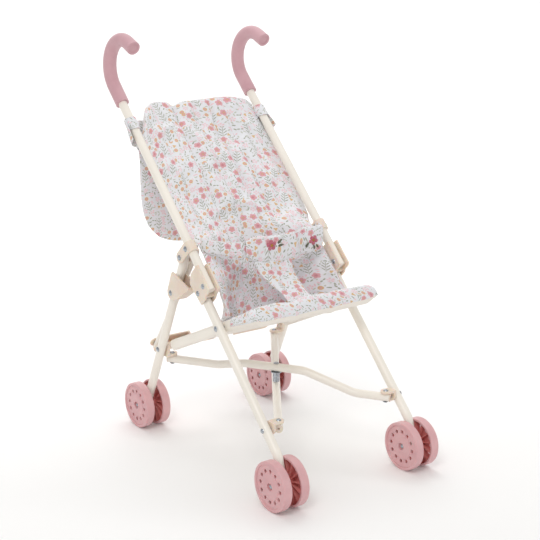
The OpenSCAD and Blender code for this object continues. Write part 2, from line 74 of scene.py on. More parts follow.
# ---------------------------------------------------------------- camera, light and floor
def look():
    """Camera from the front left, a pale world and soft lights."""
    cam = bpy.data.objects.new("camera", bpy.data.cameras.new("camera"))
    scene.collection.objects.link(cam)
    right = Vector((0.8113113, -0.58456848, 0.00732541))
    up = Vector((0.154772, 0.22685458, 0.9615522))
    back = Vector((-0.56375491, -0.7789844, 0.27452452))
    m = Matrix((right, up, back)).transposed().to_4x4()
    m.translation = Vector((-0.947033, -1.326140, 0.705517))
    cam.matrix_world = m
    cam.data.lens = 84.546
    cam.data.sensor_width = 36
    cam.data.clip_end = 60
    scene.camera = cam
    scene.view_settings.view_transform = "Standard"
    world = bpy.data.worlds.new("studio")
    scene.world = world
    world.use_nodes = True
    sky = world.node_tree.nodes["Background"].inputs
    sky["Color"].default_value = (1, 0.995, 0.985, 1)
    sky["Strength"].default_value = 0.63

    def area(name, loc, at, size, watts, colour=(1, 1, 1)):
        light = bpy.data.lights.new(name, "AREA")
        light.shape = "RECTANGLE"
        light.size, light.size_y = size
        light.energy, light.color = watts, colour
        o = bpy.data.objects.new(name, light)
        scene.collection.objects.link(o)
        o.location = loc
        o.rotation_euler = (Vector(at) - Vector(loc)).to_track_quat("-Z", "Y").to_euler()

    area("key", (-1.3, -1.1, 1.9), (0, 0, 0.25), (0.8, 0.8), 13.5, (1, 0.985, 0.965))
    area("fill", (1.3, -1.8, 0.7), (0, 0, 0.25), (1.4, 0.9), 3.0)
    area("top", (0.2, 0.7, 2.2), (0, 0, 0.2), (1.6, 1.6), 6)
    area("back", (0.6, 2.0, 0.9), (0, 0, 0.3), (1.6, 1.0), 2)
    area("wash", (0.6, 1.3, 2.4), (1.9, 3.1, 0.4), (2.4, 2.4), 60)


def floor():
    """Pale floor that curves up into a wall behind the stroller, square to the camera."""
    flat, radius, high, half_width = 3.0, 1.5, 6, 8
    heading = math.radians(-35.9)
    me = bpy.data.meshes.new("floor")
    prof = [(-7, 0), (flat, 0)]
    prof += [(flat + radius * math.sin(a), radius - radius * math.cos(a))
             for a in np.linspace(0.15, math.pi / 2, 10)]
    prof += [(flat + radius, high)]
    verts, faces = [], []
    c, s = math.cos(heading), math.sin(heading)
    for y, z in prof:
        for x in (-half_width, half_width):
            verts.append((x * c - y * s, x * s + y * c, z))
    for i in range(len(prof) - 1):
        faces.append((2 * i, 2 * i + 1, 2 * i + 3, 2 * i + 2))
    me.from_pydata(verts, [], faces)
    for p in me.polygons:
        p.use_smooth = True
    o = bpy.data.objects.new("floor", me)
    scene.collection.objects.link(o)
    m, n, out = material("floor_paint")
    out["Base Color"].default_value = (0.95, 0.948, 0.944, 1)
    out["Roughness"].default_value = 0.65
    n.bump(n.noise(n.obj(), 9, 3), 0.02, 0.002)
    me.materials.append(m)


# ---------------------------------------------------------------- node helper
class Nodes:
    """Short calls that add shader nodes and return their output."""

    def __init__(self, tree):
        self.t = tree
        self.bsdf = tree.nodes["Principled BSDF"]
        self._bump = None

    def new(self, kind, **kw):
        n = self.t.nodes.new(kind)
        for k, v in kw.items():
            setattr(n, k, v)
        return n

    def put(self, socket, v):
        if isinstance(v, bpy.types.NodeSocket):
            self.t.links.new(v, socket)
        elif v is not None:
            socket.default_value = v

    def m(self, op, a, b=None, c=None, clamp=False):
        n = self.new("ShaderNodeMath", operation=op, use_clamp=clamp)
        for i, v in enumerate((a, b, c)):
            self.put(n.inputs[i], v)
        return n.outputs[0]

    def v(self, op, a, b=None, scale=None):
        n = self.new("ShaderNodeVectorMath", operation=op)
        self.put(n.inputs[0], a)
        if b is not None:
            self.put(n.inputs[1], b)
        if scale is not None:
            self.put(n.inputs["Scale"], scale)
        return n.outputs["Value"] if op in ("LENGTH", "DISTANCE", "DOT_PRODUCT") else n.outputs[0]

    def xyz(self, a):
        n = self.new("ShaderNodeSeparateXYZ")
        self.put(n.inputs[0], a)
        return n.outputs[0], n.outputs[1], n.outputs[2]

    def join(self, x, y, z=0.0):
        n = self.new("ShaderNodeCombineXYZ")
        for i, v in enumerate((x, y, z)):
            self.put(n.inputs[i], v)
        return n.outputs[0]

    def step(self, a, lo, hi, to0=0.0, to1=1.0):
        n = self.new("ShaderNodeMapRange", interpolation_type="SMOOTHSTEP")
        for i, v in enumerate((a, lo, hi, to0, to1)):
            self.put(n.inputs[i], v)
        return n.outputs[0]

    def mix(self, f, a, b):
        n = self.new("ShaderNodeMix", data_type="RGBA")
        self.put(n.inputs[0], f)
        self.put(n.inputs[6], a)
        self.put(n.inputs[7], b)
        return n.outputs[2]

    def obj(self):
        return self.new("ShaderNodeTexCoord").outputs["Object"]

    def uv(self):
        n = self.new("ShaderNodeUVMap", uv_map="print")
        return n.outputs[0]

    def noise(self, vec, scale, detail=2.0, rough=0.5):
        n = self.new("ShaderNodeTexNoise")
        self.put(n.inputs["Vector"], vec)
        n.inputs["Scale"].default_value = scale
        n.inputs["Detail"].default_value = detail
        n.inputs["Roughness"].default_value = rough
        return n.outputs["Fac"]

    def cells(self, vec, random=0.8):
        """Three random values and the vector from the nearest point, in a 2D cell pattern."""
        n = self.new("ShaderNodeTexVoronoi", voronoi_dimensions="2D", feature="F1")
        self.put(n.inputs["Vector"], vec)
        n.inputs["Scale"].default_value = 1
        n.inputs["Randomness"].default_value = random
        c = self.new("ShaderNodeSeparateColor")
        self.t.links.new(n.outputs["Color"], c.inputs[0])
        return c.outputs, self.v("SUBTRACT", vec, n.outputs["Position"])

    def bump(self, height, strength, distance):
        n = self.new("ShaderNodeBump")
        n.inputs["Strength"].default_value = strength
        n.inputs["Distance"].default_value = distance
        self.put(n.inputs["Height"], height)
        if self._bump:
            self.t.links.new(self._bump, n.inputs["Normal"])
        self._bump = n.outputs[0]
        self.t.links.new(self._bump, self.bsdf.inputs["Normal"])


def material(name):
    """A new material, its node helper and the inputs of its main shader."""
    m = bpy.data.materials.new(name)
    m.use_nodes = True
    n = Nodes(m.node_tree)
    return m, n, n.bsdf.inputs


def lin(r, g, b):
    """A screen colour, 0 to 255, as the linear colour that a shader takes."""
    return tuple(c / 255 / 12.92 if c < 10.3 else ((c / 255 + 0.055) / 1.055) ** 2.4
                 for c in (r, g, b)) + (1,)


# ---------------------------------------------------------------- materials
def paint(name, colour, rough=0.36):
    m, n, i = material(name)
    o = n.obj()
    big = n.noise(o, 14, 2)
    n.put(i["Base Color"], n.mix(n.step(big, 0.3, 0.7), lin(*colour), lin(*[c - 5 for c in colour])))
    n.put(i["Roughness"], n.step(n.noise(o, 60, 3), 0.2, 0.8, rough - 0.05, rough + 0.07))
    i["Coat Weight"].default_value = 0.25
    i["Coat Roughness"].default_value = 0.22
    n.bump(n.noise(o, 420, 2), 0.05, 0.0004)
    return m


def plastic(name, colour, deep, rough=0.42):
    m, n, i = material(name)
    o = n.obj()
    flow = n.noise(o, 38, 3)
    n.put(i["Base Color"], n.mix(n.step(flow, 0.35, 0.75), lin(*colour), lin(*deep)))
    n.put(i["Roughness"], n.step(n.noise(o, 150, 3), 0.2, 0.8, rough - 0.05, rough + 0.08))
    i["Subsurface Weight"].default_value = 0.25
    i["Subsurface Radius"].default_value = (0.006, 0.0028, 0.0012)
    i["Subsurface Scale"].default_value = 1.0
    n.bump(n.noise(o, 900, 2), 0.06, 0.0003)
    return m


def foam():
    m, n, i = material("pink_foam_grip")
    o = n.obj()
    patchy = n.step(n.noise(o, 30, 4), 0.3, 0.75)
    n.put(i["Base Color"], n.mix(patchy, lin(208, 165, 172), lin(199, 154, 162)))
    i["Roughness"].default_value = 0.62
    i["Sheen Weight"].default_value = 0.25
    i["Sheen Roughness"].default_value = 0.5
    n.bump(n.noise(o, 2600, 2), 0.10, 0.0003)
    n.bump(n.noise(o, 160, 2), 0.04, 0.001)
    return m


def wheel_plastic():
    """Pink plastic, with painted shade: a deeper red within the rim, on its ribbed side."""
    front_y, rear_y, hub_z = 0.191, 0.1295, 0.032  # axles: distance in front, behind, and height
    m, n, i = material("pink_wheel_plastic")
    o = n.obj()
    x, y, z = n.xyz(o)
    off = n.m("ABSOLUTE", n.m("SUBTRACT", n.m("ABSOLUTE", x), TUBE_X / 1000))
    to_front, to_rear = n.m("ADD", y, front_y), n.m("SUBTRACT", y, rear_y)
    dy = n.m("MINIMUM", n.m("ABSOLUTE", to_front), n.m("ABSOLUTE", to_rear))
    r = n.v("LENGTH", n.join(dy, n.m("SUBTRACT", z, hub_z)))
    # Painted shade: a mask for the hollow within the rim, stronger deeper from the open face
    rim_inside_painted_shade = n.m("MULTIPLY", n.step(r, 0.0296, 0.0290), n.step(off, 0.0158, 0.0154))
    rim_inside_painted_shade = n.m("MULTIPLY", rim_inside_painted_shade, n.step(off, 0.0066, 0.0085, 0.55, 1.0))
    outer = n.mix(n.step(n.noise(o, 45, 3), 0.3, 0.7), lin(221, 176, 178), lin(214, 166, 169))
    # The deeper red is painted shade for the hollow rim, not a colour of the plastic
    n.put(i["Base Color"], n.mix(rim_inside_painted_shade, outer, lin(224, 140, 136)))
    n.put(i["Roughness"], n.step(n.noise(o, 130, 3), 0.2, 0.8, 0.40, 0.52))
    i["Subsurface Weight"].default_value = 0.12
    i["Subsurface Radius"].default_value = (0.004, 0.0012, 0.0012)
    i["Subsurface Scale"].default_value = 1.0
    n.bump(n.noise(o, 700, 2), 0.06, 0.0003)
    return m


def zinc():
    m, n, i = material("zinc_plate")
    o = n.obj()
    patchy = n.step(n.noise(o, 300, 3), 0.3, 0.7)
    n.put(i["Base Color"], n.mix(patchy, lin(188, 194, 200), lin(158, 164, 172)))
    i["Metallic"].default_value = 1.0
    n.put(i["Roughness"], n.step(n.noise(o, 500, 3), 0.2, 0.8, 0.16, 0.32))
    n.bump(n.noise(o, 1500, 2), 0.05, 0.0002)
    return m


# The print's colours
BASE = lin(232, 233, 237)
OLIVE = lin(164, 168, 152)
OLIVE_PALE = lin(198, 200, 188)
ROSE = lin(223, 168, 174)
ROSE_DEEP = lin(209, 142, 150)
PALE = lin(236, 202, 208)
TAN = lin(220, 184, 136)


def print_colour(n, uv):
    """A dense small floral print, drawn with distances only: blossoms, buds, leaves and sprigs."""

    def turned(p, ang):
        px, py, _ = n.xyz(p)
        ca, sa = n.m("COSINE", ang), n.m("SINE", ang)
        return (n.m("ADD", n.m("MULTIPLY", px, ca), n.m("MULTIPLY", py, sa)),
                n.m("SUBTRACT", n.m("MULTIPLY", py, ca), n.m("MULTIPLY", px, sa)))

    def ellipse(x, y, half_x, half_y):
        r = n.v("LENGTH", n.join(n.m("MULTIPLY", x, 1 / half_x), n.m("MULTIPLY", y, 1 / half_y)))
        return n.step(r, 1.12, 0.85)

    def both(*masks):
        out = masks[0]
        for k in masks[1:]:
            out = n.m("MULTIPLY", out, k)
        return out

    def between(a, lo, hi):
        return both(n.m("GREATER_THAN", a, lo), n.m("LESS_THAN", a, hi))

    # Loose leaves in the gaps
    c, p = n.cells(n.v("ADD", n.v("SCALE", uv, scale=1 / 0.0050), (3.7, 9.1, 0)), 0.8)
    lx, ly = turned(p, n.m("MULTIPLY", c[0], TURN))
    leaf = both(ellipse(lx, ly, 0.42, 0.16), n.m("GREATER_THAN", c[1], 0.08))
    darker = n.mix(n.m("GREATER_THAN", c[1], 0.55), PALE, OLIVE)
    tint = n.mix(n.m("GREATER_THAN", c[2], 0.50), OLIVE_PALE, darker)
    colour = n.mix(leaf, BASE, tint)
    # Pale open blossoms, tan buttons, three-lobed buds and leaf pairs
    c, p = n.cells(n.v("SCALE", uv, scale=1 / 0.0086), 0.75)
    px, py, _ = n.xyz(p)
    kind = c[0]
    r = n.v("LENGTH", p)
    th = n.m("ADD", n.m("ARCTAN2", py, px), n.m("MULTIPLY", c[1], TURN))
    petals = n.m("ABSOLUTE", n.m("COSINE", n.m("MULTIPLY", th, 2.5)))
    colour = n.mix(both(n.step(r, 0.44, 0.40), n.m("LESS_THAN", kind, 0.78)), colour, BASE)
    spoke = both(n.step(petals, 0.45, 0.7), n.step(r, 0.40, 0.36), n.step(r, 0.05, 0.10),
                 n.m("LESS_THAN", kind, 0.30))
    colour = n.mix(spoke, colour, PALE)
    button = both(between(kind, 0.30, 0.50), n.step(r, 0.32, 0.28))
    colour = n.mix(button, colour, n.mix(n.step(r, 0.12, 0.17), ROSE, TAN))
    lobe = n.m("MULTIPLY_ADD", n.m("ABSOLUTE", n.m("COSINE", n.m("MULTIPLY", th, 1.5))), 0.16, 0.14)
    bud = both(between(kind, 0.50, 0.60), n.step(r, lobe, n.m("SUBTRACT", lobe, 0.05)))
    colour = n.mix(bud, colour, TAN)
    lx, ly = n.m("MULTIPLY", r, n.m("COSINE", th)), n.m("MULTIPLY", r, n.m("SINE", th))
    pair = ellipse(n.m("SUBTRACT", n.m("ABSOLUTE", lx), 0.21), ly, 0.18, 0.09)
    colour = n.mix(both(pair, between(kind, 0.60, 0.78)), colour, OLIVE)
    # Sprigs with thin leaflets in pairs up a stem
    c, p = n.cells(n.v("ADD", n.v("SCALE", uv, scale=1 / 0.022), (5.3, 1.7, 0)), 0.75)
    lx, ly = turned(p, n.m("MULTIPLY_ADD", c[0], 0.9, -0.45))
    lx = n.m("ABSOLUTE", lx)
    tall = n.step(n.m("ABSOLUTE", ly), 0.40, 0.37)
    wide = n.m("MULTIPLY_ADD", n.m("MULTIPLY", ly, ly), -0.7, 0.20)
    rows = n.m("FRACT", n.m("MULTIPLY", n.m("ADD", ly, n.m("MULTIPLY", lx, -1.0)), 4.9))
    rows = n.step(n.m("ABSOLUTE", n.m("SUBTRACT", rows, 0.5)), 0.22, 0.12)
    leaves = both(rows, n.step(lx, wide, n.m("SUBTRACT", wide, 0.03)), n.step(lx, 0.020, 0.045))
    on = n.m("GREATER_THAN", c[1], 0.42)
    colour = n.mix(both(n.step(lx, n.m("ADD", wide, 0.03), wide), tall, on), colour, BASE)
    colour = n.mix(both(n.m("MAXIMUM", leaves, n.step(lx, 0.016, 0.008)), tall, on), colour, OLIVE)
    # Rose blossoms with five round petals
    c, p = n.cells(n.v("ADD", n.v("SCALE", uv, scale=1 / 0.0128), (8.1, 2.9, 0)), 0.6)
    px, py, _ = n.xyz(p)
    r = n.v("LENGTH", p)
    th = n.m("ADD", n.m("ARCTAN2", py, px), n.m("MULTIPLY", c[1], TURN))
    petals = n.m("SQRT", n.m("ABSOLUTE", n.m("COSINE", n.m("MULTIPLY", th, 2.5))))
    edge = n.m("MULTIPLY_ADD", petals, 0.13, 0.22)
    on = n.m("LESS_THAN", c[0], 0.25)
    colour = n.mix(both(n.step(r, 0.42, 0.38), on), colour, BASE)
    line = both(n.step(petals, 0.55, 0.35), n.step(r, 0.24, 0.20))
    shade = n.mix(n.m("MAXIMUM", line, n.step(r, 0.15, 0.10)), ROSE, ROSE_DEEP)
    heart = both(n.step(r, 0.085, 0.06), n.m("GREATER_THAN", c[2], 0.3))
    flower = both(n.step(r, n.m("ADD", edge, 0.02), n.m("SUBTRACT", edge, 0.02)), on)
    return n.mix(flower, colour, n.mix(heart, shade, TAN))


def cloth(name, printed=True):
    """Woven cotton with a slight pucker, printed or plain cream."""
    weave = TURN / 0.0007
    m, n, i = material(name)
    uv = n.uv()
    if printed:
        n.put(i["Base Color"], print_colour(n, uv))
    else:
        n.put(i["Base Color"], n.mix(n.noise(uv, 60, 3), lin(247, 241, 232), lin(239, 233, 224)))
    i["Roughness"].default_value = 0.88
    i["Sheen Weight"].default_value = 0.22
    i["Sheen Roughness"].default_value = 0.4
    x, y, _ = n.xyz(uv)
    warp = n.m("SINE", n.m("MULTIPLY", x, weave))
    weft = n.m("SINE", n.m("MULTIPLY", y, weave))
    n.bump(n.m("MULTIPLY", warp, weft), 0.25, 0.00012)
    n.bump(n.noise(uv, 46, 3, 0.55), 0.35, 0.0035)
    return m


def thread(name, colour, deep):
    """Satin stitch: fine parallel threads that follow each petal, with painted shade in the grooves between
    them.
    """
    m, n, i = material(name)
    uv = n.uv()
    x, _, _ = n.xyz(uv)
    line = n.m("SINE", n.m("MULTIPLY", x, TURN / 0.00045))
    # Painted shade: the deep colour falls in the low grooves of the bump, the lighter colour on the raised
    # threads
    n.put(i["Base Color"], n.mix(n.step(line, -0.6, 0.8), lin(*deep), lin(*colour)))
    i["Roughness"].default_value = 0.42
    i["Sheen Weight"].default_value = 0.3
    n.bump(line, 0.5, 0.0002)
    return m


# ---------------------------------------------------------------- mesh helpers
def mesh_object(name, verts, faces, uvs, mats=(), mat_index=None):
    """A smooth mesh object from points and print coordinates in mm."""
    me = bpy.data.meshes.new(name)
    me.from_pydata([tuple(v) for v in np.asarray(verts, float) * MM], [], faces)
    me.update()
    layer = me.uv_layers.new(name="print")
    uvs = np.asarray(uvs, float)
    idx = np.empty(len(me.loops), int)
    me.loops.foreach_get("vertex_index", idx)
    layer.data.foreach_set("uv", (uvs[idx] * MM).astype(np.float32).ravel())
    for mat in mats:
        me.materials.append(mat)
    if mat_index is not None:
        me.polygons.foreach_set("material_index", np.asarray(mat_index, np.int32))
    me.polygons.foreach_set("use_smooth", [True] * len(me.polygons))
    o = bpy.data.objects.new(name, me)
    scene.collection.objects.link(o)
    return o


def normals(P):
    """Unit normals of a grid of points."""
    du = np.gradient(P, axis=0)
    dv = np.gradient(P, axis=1)
    n = np.cross(du, dv)
    return n / np.maximum(np.linalg.norm(n, axis=2, keepdims=True), 1e-9)


def subdivide(o, level=1):
    s = o.modifiers.new("smooth", "SUBSURF")
    s.levels = s.render_levels = level


def solid_sheet(name, P, thick, mats, uv, sub=1):
    """A closed sheet from a grid of points (n, m, 3) and its thickness at each point, in mm."""
    P = np.asarray(P, float)
    n, m = P.shape[:2]
    t = np.broadcast_to(np.asarray(thick, float), (n, m))[..., None]
    N = normals(P)
    front, back = P + N * t / 2, P - N * t / 2
    verts = np.concatenate([front.reshape(-1, 3), back.reshape(-1, 3)])
    uvs = np.concatenate([uv.reshape(-1, 2), uv.reshape(-1, 2) + [37, 13]])
    k = n * m
    F = []
    for i in range(n - 1):
        for j in range(m - 1):
            a, b, c, d = i * m + j, (i + 1) * m + j, (i + 1) * m + j + 1, i * m + j + 1
            F.append((a, b, c, d))
            F.append((k + d, k + c, k + b, k + a))
    ring = [i * m for i in range(n)] + [(n - 1) * m + j for j in range(1, m)]
    ring += [i * m + m - 1 for i in range(n - 2, -1, -1)] + [j for j in range(m - 2, 0, -1)]
    for q in range(len(ring)):
        a, b = ring[q], ring[(q + 1) % len(ring)]
        F.append((b, a, k + a, k + b))
    o = mesh_object(name, verts, F, uvs, mats)
    if sub:
        subdivide(o, sub)
    return o


def bake(o):
    """Applies every modifier on o, so that its mesh is final."""
    deps = bpy.context.evaluated_depsgraph_get()
    me = bpy.data.meshes.new_from_object(o.evaluated_get(deps))
    o.modifiers.clear()
    o.data = me
    return o


def interp(t, xs, ys):
    """Smooth curve through points: ys may be rows."""
    ys = np.asarray(ys, float)
    xs = np.asarray(xs, float)
    t = np.asarray(t, float)
    if ys.ndim == 1:
        return _hermite(t, xs, ys)
    return np.stack([_hermite(t, xs, ys[:, k]) for k in range(ys.shape[1])], -1)


def _hermite(t, xs, ys):
    h = np.diff(xs)
    d = np.diff(ys) / h
    m = np.empty_like(ys)
    m[0], m[-1] = d[0], d[-1]
    for i in range(1, len(ys) - 1):
        m[i] = 0 if d[i - 1] * d[i] <= 0 else 2 * d[i - 1] * d[i] / (d[i - 1] + d[i])
    i = np.clip(np.searchsorted(xs, t) - 1, 0, len(xs) - 2)
    u = np.clip((t - xs[i]) / h[i], 0, 1)
    a, b = ys[i], ys[i + 1]
    return ((2 * u**3 - 3 * u**2 + 1) * a + (u**3 - 2 * u**2 + u) * h[i] * m[i]
            + (-2 * u**3 + 3 * u**2) * b + (u**3 - u**2) * h[i] * m[i + 1])


def lengths(P):
    """Length along a line of points, from 0."""
    return np.concatenate([[0], np.cumsum(np.linalg.norm(np.diff(P, axis=0), axis=1))])


def waves(n, amp, lo, hi, seed):
    """Random wave numbers, phases and heights for creases."""
    g = np.random.default_rng(seed)
    return [(g.uniform(lo, hi), g.uniform(0, TURN), amp * g.uniform(0.5, 1)) for _ in range(n)]


def fold(o):
    """Rides on the left frame, with a mesh of its own."""
    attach(o, "left_frame")
    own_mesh(o)


def soft(o):
    return o


def puff(o, pin, pressure, grow, cap, frames=18):
    """Blender's cloth on a closed grid mesh: fabric a little larger than its shape, held where pin is 1."""
    me = o.data
    base = np.empty(len(me.vertices) * 3)
    me.vertices.foreach_get("co", base)
    base = base.reshape(-1, 3)
    g = o.vertex_groups.new(name="hold")
    for k, w in enumerate(pin):
        if w > 0.01:
            g.add([k], float(min(w, 1)), "REPLACE")
    c = o.modifiers.new("cloth", "CLOTH")
    s = c.settings
    s.quality = 5
    s.mass = 0.2
    s.tension_stiffness = s.compression_stiffness = 12
    s.shear_stiffness = 4
    s.bending_stiffness = 0.4
    s.vertex_group_mass = "hold"
    s.shrink_min = -grow
    s.use_pressure = pressure > 0
    s.uniform_pressure_force = pressure
    s.effector_weights.gravity = 0
    c.point_cache.frame_start, c.point_cache.frame_end = 1, frames
    for f in range(1, frames + 1):
        scene.frame_set(f)
    e = o.evaluated_get(bpy.context.evaluated_depsgraph_get())
    new = np.empty(len(me.vertices) * 3)
    e.data.vertices.foreach_get("co", new)
    new = new.reshape(-1, 3)
    o.modifiers.clear()
    o.vertex_groups.clear()
    scene.frame_set(1)
    d = new - base
    far = np.linalg.norm(d, axis=1, keepdims=True)
    ok = np.isfinite(far).all()
    if ok:
        d *= np.minimum(1, cap * MM / np.maximum(far, 1e-9))
        me.vertices.foreach_set("co", (base + d).ravel())
        me.update()
    print("cloth", o.name, "moved up to", round(float(far.max()) / MM, 1), "mm, held" if ok else "failed")


# ---------------------------------------------------------------- seat back
def seat_back(mats):
    """Pleated back: its edges run down the handle tubes, its middle sags behind them."""
    rows, cols = 92, 66
    v, u = np.linspace(0, 1, rows), np.linspace(-1, 1, cols)
    # Both edges: (y, z, left x, right x), wrapped behind the tubes above the clamps
    edge = [(*on_handle(s, t), xl, xr) for s, t, xl, xr in (
        (272, 4, -86, 97), (250, 8, -96, 101), (222, 8.6, -103, 104.5), (173, 8.8, -104.5, 105.2),
        (121, 8.8, -104, 105.5), (93, 7.6, -101, 103), (80, 4, -95.5, 96), (66, -0.5, -93.2, 93.2),
        (36, -0.5, -93.4, 93.4), (8, -0.5, -93, 93), (-20, 0, -94, 94))]
    edge += [(*on_rail(13, 11), -94.2, 94.2), (*on_rail(2, 10), -92, 92), (*on_rail(-14, 8), -89, 89)]
    edge = np.array(edge)
    # The middle from the top down: (y, z)
    mid = np.array([(182, 444.5), (163.5, 419.5), (140.5, 391), (116, 361), (92, 333), (69.5, 306),
                    (50, 280), (36, 252), (25, 223), (16, 195), (9, 168)])

    def even(p):
        s = lengths(p[:, :2])
        return interp(v * s[-1], s, p), s[-1]

    E, _ = even(edge)
    M, length = even(mid)
    a = (u[None] + 1) / 2
    p = np.interp(v, [0, 0.45, 0.56, 0.76, 0.88, 1], [2.6, 2.0, 1.5, 1.5, 2.8, 4.5])[:, None]
    w = 1 - np.abs(u[None]) ** p
    X = E[:, 2:3] * (1 - a) + E[:, 3:4] * a
    Y = E[:, 0:1] * (1 - w) + M[:, 0:1] * w
    Z = E[:, 1:2] * (1 - w) + M[:, 1:2] * w
    P = np.stack([X, Y, Z], -1)
    # Shaped top edge
    tx = interp(a[0], [0, .06, .16, .30, .5, .75, .90, .97, 1],
                [-84.5, -81, -70, -47, -8, 46, 80, 92, 97.5])
    ts = interp(tx, [-85, -80, -70, -54, -40, -32, -26.5, -19, -8, 3, 46, 78, 91, 98],
                [271, 284, 295, 303, 303.5, 300, 295, 298, 301, 301.5, 301.5, 297, 292, 282])
    tt = 3 + 2.5 * np.cos(u * 2.6)
    top_yz = on_handle(ts[:, None], tt[:, None])
    top = np.stack([tx, top_yz[:, 0], top_yz[:, 1]], -1)
    fade = np.clip(1 - v / 0.30, 0, 1)[:, None, None] ** 1.6
    P = P + (top[None] - P[0][None]) * fade
    # Soft pleats that run down from the top, and a few cross folds low down
    x = P[..., 0]
    vv = v[:, None]
    lift = np.zeros_like(x)
    pleats = ((-60, 6, 3.0, 5.5), (-27, 10, 7.0, 5), (6, 3, 4.8, 5), (33, 2, 6.2, 4.2), (55, -4, 5.4, 4.5),
              (78, -8, 3.0, 5.5))
    for x0, lean, depth, wide in pleats:
        c = x0 + lean * vv
        lift -= depth * np.exp(-(((x - c) / wide) ** 2)) * np.clip(1.15 - vv * 0.9, 0.3, 1)
    lift += 1.3 * np.cos((x + 10) / 11.5) * np.clip(1 - vv, 0, 1)
    for k, ph, amp in waves(7, 0.9, 0.03, 0.09, 3):
        lift += amp * np.sin(k * (x * (0.4 + 0.3 * amp) + P[..., 2] * 0.9) + ph)
    low = np.exp(-(((vv - 0.93) / 0.07) ** 2))
    for k, ph, amp in waves(4, 1.6, 0.05, 0.12, 5):
        lift += low * amp * np.sin(k * x + ph)
    rim = np.clip((1 - np.abs(u[None])) / 0.09, 0, 1) * np.clip(vv / 0.03, 0.2, 1)
    P = P + normals(P) * (lift * rim)[..., None]
    from_side = 1 - np.abs(u[None])
    thick = 1.8 + 4.6 * np.clip(from_side / 0.10, 0, 1) ** 0.7 * np.clip(vv / 0.035, 0, 1) ** 0.6
    uv = np.stack([X, -np.broadcast_to(vv * length, X.shape)], -1)
    o = solid_sheet("seat_back_cloth", P, thick, mats, uv, sub=0)
    from_rim = np.minimum(from_side / 0.07, np.minimum(vv / 0.05, (1 - vv) / 0.05))
    hold = np.clip(np.clip(1.25 - from_rim, 0, 1) + 0.10, 0, 1)
    puff(o, np.concatenate([hold.ravel(), np.clip(hold + 0.3, 0, 1).ravel()]), 0.9, 0.022, 5)
    subdivide(o)
    bake(o)
    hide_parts("seat_back")
    fold(o)


